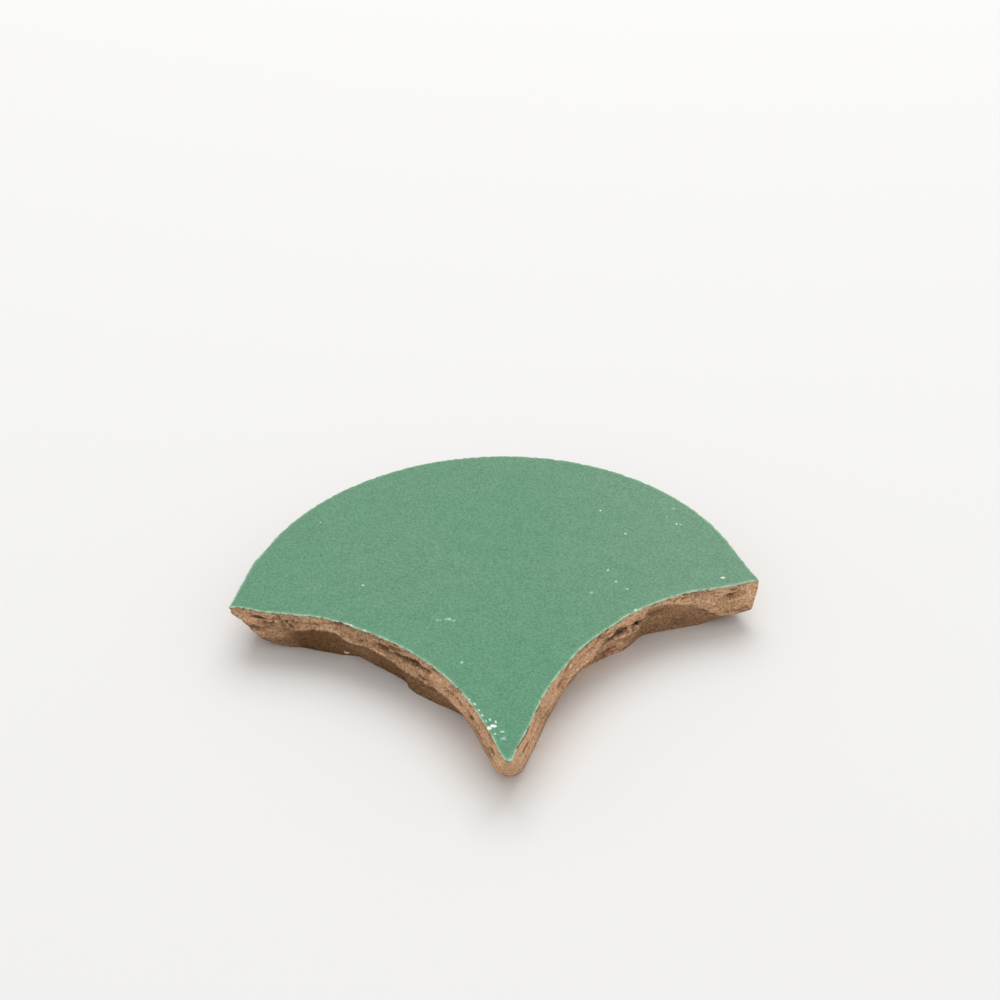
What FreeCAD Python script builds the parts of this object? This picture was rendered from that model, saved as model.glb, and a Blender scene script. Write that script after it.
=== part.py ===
import FreeCAD, Part
import Sketcher
import math
import os

# Fish scale tile, in millimetres.
# The glazed face looks up, the bed rests on z = 0 and the pointed tip looks along -Y.
# The origin is on the bed, under the centre of the round crown.

doc = FreeCAD.newDocument("fish_scale_tile")
sheet = doc.addObject("Spreadsheet::Sheet", "sizes")

# Each row: alias, value or formula, what it measures
rows = [
    # Outline of the glazed face
    ("scale_radius", "50", "radius of the round crown"),
    ("joint_width", "1.4", "grout gap round a crown that sits in a recess"),
    ("corner_flare", "1.6", "how far each corner stands outside the crown's circle"),
    ("corner_gap", "3", "gap between the corners of two neighbours in a course"),
    ("course_overlap", "0.6", "how much less than the crown's radius one course climbs"),
    ("tip_radius", "0.8", "blunt nose of the tip"),
    ("tip_half_angle", "19.5", "half of the tip's angle, degrees"),
    # Section
    ("body_thickness", "11", "bed to glazed face"),
    ("arris", "0.3", "worn edge of the glaze"),
    ("cut_band", "3.5", "height of the near upright cut under the glaze"),
    ("heel_height", "2.8", "bed to the heel, down to which the sides of the tip stand upright"),
    # How far the hand cut side stands back from the glaze edge, at three levels of the body
    ("belly_corner_back", "0.3", "foot of the upright cut, at a corner"),
    ("belly_middle_back", "0.2", "foot of the upright cut, in the middle of a recess and round the crown"),
    ("belly_side_back", "0", "foot of the upright cut, at the sides of the tip"),
    ("belly_nose_back", "1.5", "foot of the upright cut, at the nose of the tip"),
    ("heel_corner_back", "1", "heel, at a corner"),
    ("heel_middle_back", "1.8", "heel, in the middle of a recess and round the crown"),
    ("heel_side_back", "0.3", "heel, at the sides of the tip"),
    ("heel_nose_back", "4.7", "heel, at the nose of the tip"),
    ("bed_corner_back", "2.8", "bed, at a corner"),
    ("bed_middle_back", "2.7", "bed, in the middle of a recess and round the crown"),
    ("bed_side_back", "1.7", "bed, at the sides of the tip"),
    ("bed_nose_back", "7.8", "bed, at the nose of the tip"),
    # Chisel scoops in the undercut
    ("scoop_radius", "20", "radius of the hollow that one blow leaves"),
    ("scoop_depth", "1.6", "depth of a full scoop at the bed"),
    ("scoop_headroom", "1.3", "glazed face to where the tallest scoop has run out"),
    # Chips broken off under the corners: where each leaves the corner, how far it runs in along the bed
    # and the direction in plan that it faces, from the line between the corners, in degrees
    ("left_chip_rise", "9.6", "height at which the left chip leaves the corner"),
    ("left_chip_run", "7.8", "how far the left chip runs in along the bed"),
    ("left_chip_turn", "32", "direction that the left chip faces"),
    ("left_spall_rise", "4.6", "height at which the long shallow chip beside it leaves the corner"),
    ("left_spall_run", "7", "how far that chip runs in along the bed"),
    ("left_spall_turn", "58", "direction that it faces"),
    ("right_chip_rise", "4.3", "height at which the right chip leaves the corner"),
    ("right_chip_run", "9", "how far the right chip runs in along the bed"),
    ("right_chip_turn", "45", "direction that the right chip faces"),
    # Derived sizes
    ("recess_radius", "=scale_radius + joint_width", "radius of the two recesses"),
    ("corner_reach", "=scale_radius + corner_flare", "centre line to a corner"),
    ("half_pitch", "=corner_reach + corner_gap / 2", "centre line to the centre of a recess"),
    ("course_rise", "=scale_radius - course_overlap", "crown's centre to a recess's centre, along Y"),
    ("corner_along", "=sqrt(recess_radius ^ 2 - (corner_gap / 2) ^ 2) - course_rise", "a corner, along Y"),
    ("middle_turn", "=(270 - tip_half_angle) / 2", "direction of a recess's middle from its centre, degrees"),
    (
        "tip_reach",
        "=course_rise + tip_radius"
        " - (tip_radius + recess_radius - half_pitch * cos(tip_half_angle)) / sin(tip_half_angle)",
        "crown's centre to the end of the tip",
    ),
    ("bed_height", "0", "the bed is where heights start"),
    ("belly_height", "=body_thickness - cut_band", "bed to the foot of the upright cut"),
    ("rim_height", "=body_thickness - arris", "bed to the lower side of the worn glaze edge"),
    ("face_height", "=body_thickness", "bed to glazed face"),
    ("rim_back", "0", "the glaze edge is where setbacks start"),
    ("scoop_rise", "=body_thickness - scoop_headroom", "bed to where the tallest scoop has run out"),
]
# The glaze edge stands back nowhere, and the flat of the face by the worn edge all round
for place in ("corner", "middle", "side", "nose"):
    rows.append(("rim_%s_back" % place, "=rim_back", "glaze edge, at the " + place))
for place in ("corner", "middle", "side"):
    rows.append(("face_%s_back" % place, "=arris", "flat of the face, at the " + place))
rows.append(("face_nose_back", "=arris / sin(tip_half_angle)", "flat of the face, at the nose"))

# Where the outline turns at each level, from the setbacks there
levels = ("bed", "heel", "belly", "rim", "face")
places = [
    ("crown", "=scale_radius - {0}_middle_back", "radius of the crown"),
    ("corner_x", "=corner_reach - {0}_corner_back", "a corner, across"),
    (
        "corner_y",
        "=sqrt((recess_radius + {0}_corner_back) ^ 2 - (half_pitch - {0}_corner_x) ^ 2) - course_rise",
        "a corner, along",
    ),
    ("middle_x", "=half_pitch + (recess_radius + {0}_middle_back) * cos(middle_turn)", "a recess, across"),
    ("middle_y", "=(recess_radius + {0}_middle_back) * sin(middle_turn) - course_rise", "a recess, along"),
    ("side_x", "=half_pitch - (recess_radius + {0}_side_back) * cos(tip_half_angle)", "a flat, across"),
    ("side_y", "=(recess_radius + {0}_side_back) * sin(tip_half_angle) - course_rise", "a flat, along"),
    (
        "nose",
        "=({0}_nose_back - tip_reach - {0}_side_y + {0}_side_x / tan(tip_half_angle))"
        " / (1 / sin(tip_half_angle) - 1)",
        "radius of the nose",
    ),
    ("nose_y", "={0}_nose_back - tip_reach + {0}_nose", "centre of the nose, along"),
]
for level in levels:
    for name, formula, meaning in places:
        rows.append((level + "_" + name, formula.format(level), "%s: %s" % (level, meaning)))

for number, (alias, value, meaning) in enumerate(rows, start=1):
    sheet.set("A%d" % number, meaning)
    sheet.set("B%d" % number, value)
    sheet.setAlias("B%d" % number, alias)
doc.recompute()

body = doc.addObject("PartDesign::Body", "tile")
body.Label = "tile"
origin = {feature.Role: feature for feature in body.Origin.OriginFeatures}


def size(alias):
    """The number that a cell of the sheet holds now."""
    value = sheet.get(alias)
    return value if isinstance(value, (int, float)) else value.Value


def flat_sketch(name, height):
    """A sketch parallel to the bed, at a height that a formula gives."""
    sketch = body.newObject("Sketcher::SketchObject", name)
    sketch.AttachmentSupport = (origin["XY_Plane"], "")
    sketch.MapMode = "FlatFace"
    sketch.setExpression("AttachmentOffset.Base.z", height)
    return sketch


def drive(sketch, name, formula, kind, *items):
    """Add a dimension to a sketch and bind it to a formula."""
    index = sketch.addConstraint(Sketcher.Constraint(kind, *items))
    sketch.renameConstraint(index, name)
    sketch.setExpression("Constraints." + name, formula)


def scale_outline(level):
    """The closed fish scale outline at one level of the body: crown, shoulders, recesses, flats and nose."""
    sketch = flat_sketch(level + "_outline", "sizes.%s_height" % level)

    def here(name):
        return size(level + "_" + name)

    crown = here("crown")
    corner = FreeCAD.Vector(here("corner_x"), here("corner_y"), 0)
    middle = FreeCAD.Vector(here("middle_x"), here("middle_y"), 0)
    side = FreeCAD.Vector(here("side_x"), here("side_y"), 0)
    angle = math.radians(size("tip_half_angle"))
    nose = here("nose")
    nose_end = FreeCAD.Vector(nose * math.cos(angle), here("nose_y") - nose * math.sin(angle), 0)
    shoulder = math.atan2(corner.y, corner.x) + math.acos(crown / corner.Length)
    crown_end = FreeCAD.Vector(crown * math.cos(shoulder), crown * math.sin(shoulder), 0)

    def flip(point):
        return FreeCAD.Vector(-point.x, point.y, 0)

    def arc(y, radius, first, last):
        circle = Part.Circle(FreeCAD.Vector(0, y, 0), FreeCAD.Vector(0, 0, 1), radius)
        return sketch.addGeometry(Part.ArcOfCircle(circle, first, last), False)

    def line(first, last):
        return sketch.addGeometry(Part.LineSegment(first, last), False)

    def recess(first, last):
        through = flip(middle) if first.x < 0 else middle
        return sketch.addGeometry(Part.Arc(first, through, last), False)

    # The curves run round the outline, from the crown by the right hand side
    top = arc(0, crown, shoulder, math.pi - shoulder)
    right_shoulder = line(crown_end, corner)
    right_recess = recess(corner, side)
    right_flat = line(side, nose_end)
    tip = arc(here("nose_y"), nose, math.pi + angle, 2 * math.pi - angle)
    left_flat = line(flip(nose_end), flip(side))
    left_recess = recess(flip(side), flip(corner))
    left_shoulder = line(flip(corner), flip(crown_end))
    right_middle = sketch.addGeometry(Part.Point(middle), True)
    left_middle = sketch.addGeometry(Part.Point(flip(middle)), True)

    # Ends of a curve in a sketch: 1 is its start, 2 its end and 3 its centre
    joins = [
        ("Tangent", top, 1, right_shoulder, 1),
        ("Coincident", right_shoulder, 2, right_recess, 1),
        ("Coincident", right_recess, 2, right_flat, 1),
        ("Tangent", right_flat, 2, tip, 2),
        ("Tangent", tip, 1, left_flat, 1),
        ("Coincident", left_flat, 2, left_recess, 1),
        ("Coincident", left_recess, 2, left_shoulder, 1),
        ("Tangent", left_shoulder, 2, top, 2),
        ("PointOnObject", right_middle, 1, right_recess),
        ("PointOnObject", left_middle, 1, left_recess),
        ("Coincident", top, 3, -1, 1),
        ("PointOnObject", tip, 3, -2),
    ]
    for join in joins:
        sketch.addConstraint(Sketcher.Constraint(*join))

    cell = "sizes.%s_" % level
    drive(sketch, "crown", cell + "crown", "Radius", top, crown)
    drive(sketch, "nose", cell + "nose", "Radius", tip, nose)
    drive(sketch, "nose_place", "-" + cell + "nose_y", "DistanceY", tip, 3, -1, 1, -here("nose_y"))
    # Each spot: name, 1 where it lies above the crown's centre or -1 below, and its two points
    spots = [
        ("corner", 1, (right_recess, 1), (left_recess, 2)),
        ("middle", -1, (right_middle, 1), (left_middle, 1)),
        ("side", -1, (right_recess, 2), (left_recess, 1)),
    ]
    for name, along, right, left in spots:
        x = here(name + "_x")
        y = here(name + "_y")
        drive(sketch, "right_%s_x" % name, cell + name + "_x", "DistanceX", -1, 1, *right, x)
        drive(sketch, "left_%s_x" % name, cell + name + "_x", "DistanceX", *left, -1, 1, x)
        for hand, point in (("right", right), ("left", left)):
            label = "%s_%s_y" % (hand, name)
            if along > 0:
                drive(sketch, label, cell + name + "_y", "DistanceY", -1, 1, *point, y)
            else:
                drive(sketch, label, "-" + cell + name + "_y", "DistanceY", *point, -1, 1, -y)
    return sketch


# The body: outlines from the bed up to the glazed face, joined by straight sided skins
outlines = [scale_outline(level) for level in levels]
doc.recompute()
blank = body.newObject("PartDesign::AdditiveLoft", "blank")
blank.Profile = outlines[0]
blank.Sections = outlines[1:]
blank.Ruled = True
doc.recompute()


def scoop(name, centre, turn, depth_share, rise_share, inward):
    """One chisel scoop: a leaning round hollow that is deepest at the bed and runs out under the glaze.

    It faces away from a centre, or towards it where inward is set. The shares scale its depth and height.
    """
    hollow = body.newObject("PartDesign::SubtractiveCylinder", name)
    hollow.AttachmentSupport = (origin["XY_Plane"], "")
    hollow.MapMode = "FlatFace"
    hollow.setExpression("Radius", "sizes.scoop_radius")
    hollow.setExpression("Height", "2 * (sizes.scoop_radius + sizes.body_thickness)")
    depth = "sizes.scoop_depth * %s" % depth_share
    cut_back = "(sizes.bed_middle_back - sizes.belly_middle_back + %s)" % depth
    tilt = "atan(%s / (sizes.scoop_rise * %s))" % (cut_back, rise_share)
    stand = "sizes.scoop_radius / cos(%s)" % tilt
    if inward:
        distance = "sizes.recess_radius + sizes.bed_middle_back + %s - %s" % (depth, stand)
        lean = "-" + tilt
    else:
        distance = "sizes.scale_radius - sizes.bed_middle_back - %s + %s" % (depth, stand)
        lean = tilt
    # The hollow starts one radius below the bed, measured along its own leaning axis
    out = "(%s - sizes.scoop_radius * sin(%s))" % (distance, lean)
    place = "placement(vector(%s + %s * cos(%s); %s + %s * sin(%s); %s); %s)"
    rotation = "rotation(vector(0; 0; 1); %s) * rotation(vector(0; 1; 0); %s)" % (turn, lean)
    drop = "-sizes.scoop_radius * cos(%s)" % tilt
    centre_x, centre_y = centre
    hollow.setExpression(
        "AttachmentOffset", place % (centre_x, out, turn, centre_y, out, turn, drop, rotation)
    )
    doc.recompute()


# Where the blows fell, as turns in degrees about the arc's centre, each with its shares of depth and height
crown_turns = [(33, 0.7, 0.8), (50, 0.4, 0.7), (66, 0.8, 0.9), (83, 0.5, 0.7)]
crown_turns += [(98, 0.7, 0.85), (116, 0.45, 0.7), (132, 0.8, 0.9), (147, 0.55, 0.75)]
right_turns = [(114.5, 1.0, 1.0), (131.5, 1.0, 0.66)]
left_turns = [(63, 0.55, 0.8), (33, 0.4, 0.55)]
marks = [("crown", ("0", "0"), crown_turns, False)]
marks.append(("right", ("sizes.half_pitch", "-sizes.course_rise"), right_turns, True))
marks.append(("left", ("-sizes.half_pitch", "-sizes.course_rise"), left_turns, True))
for side, centre, blows, inward in marks:
    for number, (turn, depth_share, rise_share) in enumerate(blows, start=1):
        before = body.Shape.Volume
        scoop("%s_scoop_%d" % (side, number), centre, turn, depth_share, rise_share, inward)
        if body.Shape.Volume >= before:
            raise RuntimeError("scoop %d of the %s cut nothing" % (number, side))


def corner_chip(name, outward):
    """The wedge broken off under one corner, drawn in the upright plane that looks outward from it."""
    sketch = body.newObject("Sketcher::SketchObject", name + "_outline")
    sketch.AttachmentSupport = (origin["XZ_Plane"], "")
    sketch.MapMode = "FlatFace"
    cell = "sizes.%s_" % name
    corner = "vector(%s * sizes.corner_reach; 0; -sizes.corner_along)" % outward
    turn = "-%sturn" % cell if outward > 0 else "180 + %sturn" % cell
    sketch.setExpression("AttachmentOffset", "placement(%s; rotation(vector(0; 1; 0); %s))" % (corner, turn))
    run = size(name + "_run")
    rise = size(name + "_rise")
    # The sloping side passes through the corner and the bed, and reaches as far again at either end
    low = FreeCAD.Vector(-2 * run, -rise, 0)
    high = FreeCAD.Vector(run, 2 * rise, 0)
    foot = FreeCAD.Vector(run, -rise, 0)
    slope = sketch.addGeometry(Part.LineSegment(low, high), False)
    back = sketch.addGeometry(Part.LineSegment(high, foot), False)
    base = sketch.addGeometry(Part.LineSegment(foot, low), False)
    for first, second in ((slope, back), (back, base), (base, slope)):
        sketch.addConstraint(Sketcher.Constraint("Coincident", first, 2, second, 1))
    sketch.addConstraint(Sketcher.Constraint("Horizontal", base))
    sketch.addConstraint(Sketcher.Constraint("Vertical", back))
    drive(sketch, "back_place", cell + "run", "DistanceX", -1, 1, back, 2, run)
    drive(sketch, "base_place", cell + "rise", "DistanceY", back, 2, -1, 1, rise)
    drive(sketch, "length", "3 * %srun" % cell, "DistanceX", slope, 1, back, 2, 3 * run)
    drive(sketch, "height", "3 * %srise" % cell, "DistanceY", back, 2, back, 1, 3 * rise)
    doc.recompute()
    chip = body.newObject("PartDesign::Pocket", name)
    chip.Profile = sketch
    chip.Midplane = True
    chip.setExpression("Length", "4 * %srun" % cell)
    doc.recompute()


for name, outward in (("left_chip", -1), ("left_spall", -1), ("right_chip", 1)):
    before = body.Shape.Volume
    corner_chip(name, outward)
    if body.Shape.Volume >= before:
        raise RuntimeError("%s cut nothing" % name)

failed = [item.Name for item in doc.Objects if "Invalid" in item.State or "Error" in item.State]
if failed:
    raise RuntimeError("not built: " + ", ".join(failed))
shape = body.Shape
if shape.isNull() or not shape.isValid() or len(shape.Solids) != 1:
    raise RuntimeError("the tile is not one sound solid")
os.makedirs("parts", exist_ok=True)
shape.exportStep("parts/%s.step" % body.Label)
print(body.Label, shape.optimalBoundingBox(), "volume", round(shape.Volume))
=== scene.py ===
import bpy
import bmesh
import math
from mathutils import Matrix, Vector
from mathutils.noise import noise as ripple


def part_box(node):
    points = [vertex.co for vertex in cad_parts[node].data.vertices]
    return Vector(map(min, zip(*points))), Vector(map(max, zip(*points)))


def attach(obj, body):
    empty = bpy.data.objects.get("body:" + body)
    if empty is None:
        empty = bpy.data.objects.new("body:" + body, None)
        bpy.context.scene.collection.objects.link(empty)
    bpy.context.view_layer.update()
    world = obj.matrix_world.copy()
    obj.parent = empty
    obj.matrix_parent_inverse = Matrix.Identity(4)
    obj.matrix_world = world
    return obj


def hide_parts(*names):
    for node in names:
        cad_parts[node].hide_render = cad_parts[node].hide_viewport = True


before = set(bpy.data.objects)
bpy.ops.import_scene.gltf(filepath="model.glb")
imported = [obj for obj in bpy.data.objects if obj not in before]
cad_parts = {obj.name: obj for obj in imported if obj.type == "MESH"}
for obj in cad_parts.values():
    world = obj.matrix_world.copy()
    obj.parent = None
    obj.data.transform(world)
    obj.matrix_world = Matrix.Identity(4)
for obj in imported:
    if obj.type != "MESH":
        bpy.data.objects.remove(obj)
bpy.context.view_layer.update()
tileLow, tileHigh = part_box("tile")
mm = 0.001
deg = math.radians(1)


def deselectAll():
    if bpy.context.mode != "OBJECT":
        bpy.ops.object.mode_set(mode="OBJECT")
    bpy.ops.object.select_all(action="DESELECT")


def makeActive(piece):
    deselectAll()
    piece.select_set(True)
    bpy.context.view_layer.objects.active = piece


def editPiece(piece):
    makeActive(piece)
    bpy.ops.object.mode_set(mode="EDIT")
    bpy.ops.mesh.select_mode(type="VERT")
    bpy.ops.mesh.select_all(action="DESELECT")


def selectVerts(piece, test):
    # runs in edit mode, picks vertices by place
    net = bmesh.from_edit_mesh(piece.data)
    for vert in net.verts:
        vert.select_set(bool(test(vert.co)))
    net.select_flush_mode()
    bmesh.update_edit_mesh(piece.data)


def inMetres(numbers):
    return Vector(numbers) * mm


def ramp(low, high, value):
    return max(0.0, min(1.0, (value - low) / (high - low)))


# The tile's outline and section, taken from the frame where it gives the size
tileShape = {
    "crownRadius": tileHigh[1],
    "cornerReach": tileHigh[0],
    "thickness": tileHigh[2],
    "tipReach": -tileLow[1],
    "joint": 1.4 * mm,
    "cornerGap": 3.0 * mm,
    "courseOverlap": 0.6 * mm,
    "tipHalfAngle": 19.5 * deg,
    "crownSteps": 150,       # points along half the crown
    "shoulderSteps": 30,
    "recessSteps": 280,
    "flatSteps": 44,
    "noseSteps": 14,
    "sameLevel": 0.004 * mm,     # points closer in height than this lie on one level
    "mirrorMerge": 0.02 * mm,
    "pointMerge": 0.002 * mm,
    "fanCentre": (0, 12 * mm),   # the rings of the face and the bed close in on this point
    "glazeSkin": 0.31 * mm,      # down from the face to where the clay starts
    "rimWear": (0.01 * mm, 0.06 * mm),   # depths where the glaze starts to be worn and is all worn
    # name, depth under the face, how far the outline is cut back at the corner, the middle of the recess,
    # the tip's sides and the nose, and the rows down to the next level
    "levels": [
        ("faceInner", 0.00, 1.30, 1.30, 1.10, 2.80, 2),
        ("faceOuter", 0.02, 0.36, 0.38, 0.26, 0.66, 1),
        ("edgeTop", 0.07, 0.15, 0.15, 0.11, 0.28, 1),
        ("rim", 0.16, 0.00, 0.00, 0.00, 0.00, 1),
        ("lip", 0.30, 0.03, 0.03, 0.02, 0.02, 1),
        ("clayTop", 0.48, 0.12, 0.12, 0.04, 0.10, 6),
        ("band", 1.90, 0.12, 0.10, -0.05, 0.65, 7),
        ("belly", 3.50, 0.30, 0.20, -0.05, 1.50, 18),
        ("heel", 8.20, 1.00, 1.80, 0.30, 4.70, 9),
        ("foot", 10.40, 2.41, 2.51, 1.40, 7.14, 2),
        ("bed", 11.00, 2.80, 2.70, 1.70, 7.80, 0),
    ],
    "faceRings": [0.95, 0.88, 0.79, 0.69, 0.58, 0.46, 0.34, 0.22, 0.10],
    "bedRings": [0.88, 0.78, 0.66, 0.52, 0.36, 0.18],
}


def levelAt(name):
    return next(level for level in tileShape["levels"] if level[0] == name)


def depthOf(name):
    return levelAt(name)[1] * mm


def cutBackOf(name):
    # at the middle of the recess
    return levelAt(name)[3] * mm


def recessCentre(side):
    shape = tileShape
    across = shape["cornerReach"] + shape["cornerGap"] / 2
    return Vector((side * across, shape["courseOverlap"] - shape["crownRadius"]))


def circleCentre(first, second, third):
    chordA = second - first
    chordB = third - first
    cross = 2 * (chordA.x * chordB.y - chordA.y * chordB.x)
    x = (chordB.y * chordA.length_squared - chordA.y * chordB.length_squared) / cross
    y = (chordA.x * chordB.length_squared - chordB.x * chordA.length_squared) / cross
    return first + Vector((x, y))


def onCircle(centre, radius, turn):
    return centre + radius * Vector((math.cos(turn), math.sin(turn)))


def scaleLoop(level):
    # half of the outline is drawn from the crown's top to the tip, then mirrored
    name = level[0]
    depth, cornerBack, middleBack, sideBack, noseBack = [value * mm for value in level[1:6]]
    shape = tileShape
    height = shape["thickness"] - depth
    quarter = math.pi / 2
    angle = shape["tipHalfAngle"]
    crown = shape["crownRadius"] - middleBack
    recess = shape["crownRadius"] + shape["joint"]
    centre = recessCentre(1)
    cornerAlong = shape["cornerReach"] - cornerBack - centre.x
    corner = centre + Vector((cornerAlong, math.sqrt((recess + cornerBack) ** 2 - cornerAlong ** 2)))
    middle = onCircle(centre, recess + middleBack, (3 * quarter - angle) / 2)
    side = onCircle(centre, recess + sideBack, math.pi - angle)
    hub = circleCentre(corner, middle, side)
    tipY = noseBack - shape["tipReach"]
    nose = (tipY - side.y + side.x / math.tan(angle)) / (1 / math.sin(angle) - 1)
    noseEnd = Vector((nose * math.cos(angle), tipY + nose - nose * math.sin(angle)))
    shoulderTurn = math.atan2(corner.y, corner.x) + math.acos(crown / corner.length)
    crownEnd = onCircle(Vector((0, 0)), crown, shoulderTurn)

    deselectAll()
    bpy.ops.mesh.primitive_plane_add(size=mm, location=(0, crown, height))
    loop = bpy.context.object
    loop.name = name
    bpy.ops.object.transform_apply(location=True, rotation=True, scale=True)
    bpy.ops.object.mode_set(mode="EDIT")
    bpy.ops.mesh.merge(type="CENTER")

    def sweep(x, y, turn, steps):
        # spin counts clockwise
        bpy.ops.mesh.spin(steps=steps, angle=-turn, center=(x, y, height), axis=(0, 0, 1))

    def straight(first, last, steps):
        move = ((last - first) / steps).to_3d()
        for step in range(steps):
            bpy.ops.mesh.extrude_region_move(TRANSFORM_OT_translate={"value": move})

    sweep(0, 0, shoulderTurn - quarter, shape["crownSteps"])
    straight(crownEnd, corner, shape["shoulderSteps"])
    sideTurn = math.atan2(side.y - hub.y, side.x - hub.x)
    cornerTurn = math.atan2(corner.y - hub.y, corner.x - hub.x)
    sweep(hub.x, hub.y, sideTurn - cornerTurn, shape["recessSteps"])
    straight(side, noseEnd, shape["flatSteps"])
    sweep(0, tipY + nose, angle - quarter, shape["noseSteps"])
    bpy.ops.object.mode_set(mode="OBJECT")
    mirror = loop.modifiers.new("otherHalf", "MIRROR")
    mirror.merge_threshold = shape["mirrorMerge"]
    bpy.ops.object.modifier_apply(modifier=mirror.name)
    return loop


def closeRings(tile, height, scales):
    # rings run in from the outline at one height to the fan's centre
    editPiece(tile)
    selectVerts(tile, lambda co: abs(co.z - height) < tileShape["sameLevel"])
    centreX, centreY = tileShape["fanCentre"]
    last = 1.0
    for scale in scales:
        bpy.ops.mesh.extrude_region_move()
        ratio = scale / last
        bpy.ops.transform.resize(value=(ratio, ratio, 1), center_override=(centreX, centreY, height))
        last = scale
    bpy.ops.mesh.extrude_region_move()
    bpy.ops.mesh.merge(type="CENTER")
    bpy.ops.object.mode_set(mode="OBJECT")


def tileBlank():
    levels = tileShape["levels"]
    loops = [scaleLoop(level) for level in levels]
    deselectAll()
    for loop in loops:
        loop.select_set(True)
    bpy.context.view_layer.objects.active = loops[0]
    bpy.ops.object.join()
    tile = bpy.context.object
    tile.name = "glazedTile"
    heights = [tileShape["thickness"] - depthOf(level[0]) for level in levels]
    for index, level in enumerate(levels[:-1]):
        editPiece(tile)
        pair = heights[index:index + 2]
        selectVerts(tile, lambda co: min(abs(co.z - height) for height in pair) < tileShape["sameLevel"])
        rows = level[6]
        bpy.ops.mesh.bridge_edge_loops(number_cuts=rows - 1, interpolation="LINEAR")
        bpy.ops.object.mode_set(mode="OBJECT")
    closeRings(tile, heights[0], tileShape["faceRings"])
    closeRings(tile, heights[-1], tileShape["bedRings"])
    editPiece(tile)
    bpy.ops.mesh.select_all(action="SELECT")
    bpy.ops.mesh.remove_doubles(threshold=tileShape["pointMerge"])
    bpy.ops.mesh.normals_make_consistent(inside=False)
    bpy.ops.object.mode_set(mode="OBJECT")
    print("tile blank", len(tile.data.vertices), "points", len(tile.data.polygons), "faces")
    return tile


def markGlaze(tile):
    # before the cutting, heights still tell glaze from clay
    top = tileShape["thickness"]
    clayStart = top - tileShape["glazeSkin"]
    for face in tile.data.polygons:
        face.material_index = 0 if face.center.z > clayStart else 1
    wearAndHighlight = tile.data.attributes.new("rimWear", "FLOAT", "POINT")
    for vert in tile.data.vertices:
        wearAndHighlight.data[vert.index].value = ramp(*tileShape["rimWear"], top - vert.co.z)


# Blows of the chisel round the crown: leaning hollows in the cut edge, deepest at the bed
chiselBlows = {
    "radius": 20 * mm,
    "depth": 1.6 * mm,       # of a full blow
    "headroom": 1.3 * mm,    # from the face to where the tallest blow has run out
    # turn about the crown's centre in degrees, share of the depth, share of the height
    "crown": [
        (33, 0.7, 0.8), (50, 0.4, 0.7), (66, 0.8, 0.9), (83, 0.5, 0.7),
        (98, 0.7, 0.85), (116, 0.45, 0.7), (132, 0.8, 0.9), (147, 0.55, 0.75),
    ],
}


def strikeScoop(tile, turn, depthShare, riseShare):
    blow = chiselBlows
    radius = blow["radius"]
    depth = blow["depth"] * depthShare
    bedBack = cutBackOf("bed")
    bellyBack = cutBackOf("belly")
    rise = (tileShape["thickness"] - blow["headroom"]) * riseShare
    slope = (bedBack - bellyBack + depth) / rise
    stretch = math.hypot(1, slope)
    out = Vector((math.cos(turn * deg), math.sin(turn * deg)))
    clayStart = tileShape["thickness"] - tileShape["glazeSkin"]
    for vert in tile.data.vertices:
        along = vert.co.xy.dot(out)
        across = vert.co.x * out.y - vert.co.y * out.x
        if vert.co.z > clayStart or along < 0 or abs(across) >= radius:
            continue
        sag = (radius - math.sqrt(radius ** 2 - across ** 2)) * stretch
        cut = bedBack + depth - vert.co.z * slope - sag
        tooFar = along + cut - tileShape["crownRadius"]
        if tooFar > 0:
            vert.co.xy -= out * tooFar


def chiselCrown(tile):
    for turn, depthShare, riseShare in chiselBlows["crown"]:
        strikeScoop(tile, turn, depthShare, riseShare)
    print("crown chiselled")


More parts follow.
